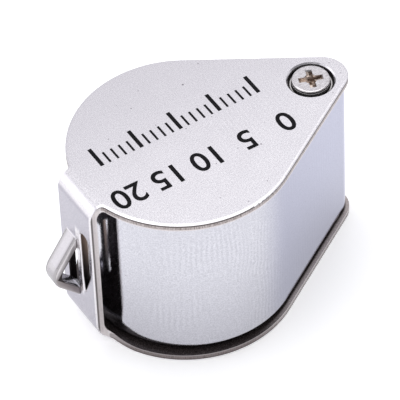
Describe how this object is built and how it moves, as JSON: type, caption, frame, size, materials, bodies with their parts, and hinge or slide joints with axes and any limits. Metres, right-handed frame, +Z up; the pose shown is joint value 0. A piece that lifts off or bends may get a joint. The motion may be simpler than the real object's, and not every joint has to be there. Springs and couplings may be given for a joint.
{
  "type": "folding hand lens",
  "caption": "Folding triplet hand lens: teardrop lens housing that swings on a screw pivot out of a bent sheet cover with a lanyard strap.",
  "frame": {"origin": "centre of the cover's large arc on the underside of its bottom plate, which is the face it rests on", "axes": "+X from the web with the lanyard strap to the pivot screws, +Y across the cover, +Z up through the lens, along the pivot"},
  "size_m": [0.038, 0.0252, 0.022],
  "materials": {
    "satin_steel": "satin nickel-plated sheet, fine grain",
    "polished_chrome": "polished, faint drawing lines",
    "screw_steel": "plated steel",
    "spring_steel": "blued spring steel",
    "nylon": "natural nylon",
    "brass": "turned",
    "black_anodised": "matt black anodised",
    "flint_glass": "coated optical glass",
    "crown_glass": "optical glass"
  },
  "bodies": {
    "cover": {"folding_cover": "satin_steel", "pivot_screw_top": "screw_steel", "pivot_screw_bottom": "screw_steel", "pivot_post": "screw_steel", "spring_washer_top": "spring_steel", "spring_washer_bottom": "spring_steel", "friction_washer_top": "nylon", "friction_washer_bottom": "nylon"},
    "housing": {"housing_shell": "polished_chrome", "housing_base": "polished_chrome", "pivot_bush": "brass", "lens_barrel": "black_anodised", "retaining_ring_top": "black_anodised", "retaining_ring_bottom": "black_anodised", "spacer_ring_top": "black_anodised", "spacer_ring_bottom": "black_anodised", "lens_flint_top": "flint_glass", "lens_crown": "crown_glass", "lens_flint_bottom": "flint_glass"}
  },
  "joints": [
    {"name": "housing_swing", "type": "hinge", "parent": "cover", "child": "housing", "pos_m": [0.0168, 0, 0.01093], "axis": [0, 0, 1], "continuous": true}
  ]
}
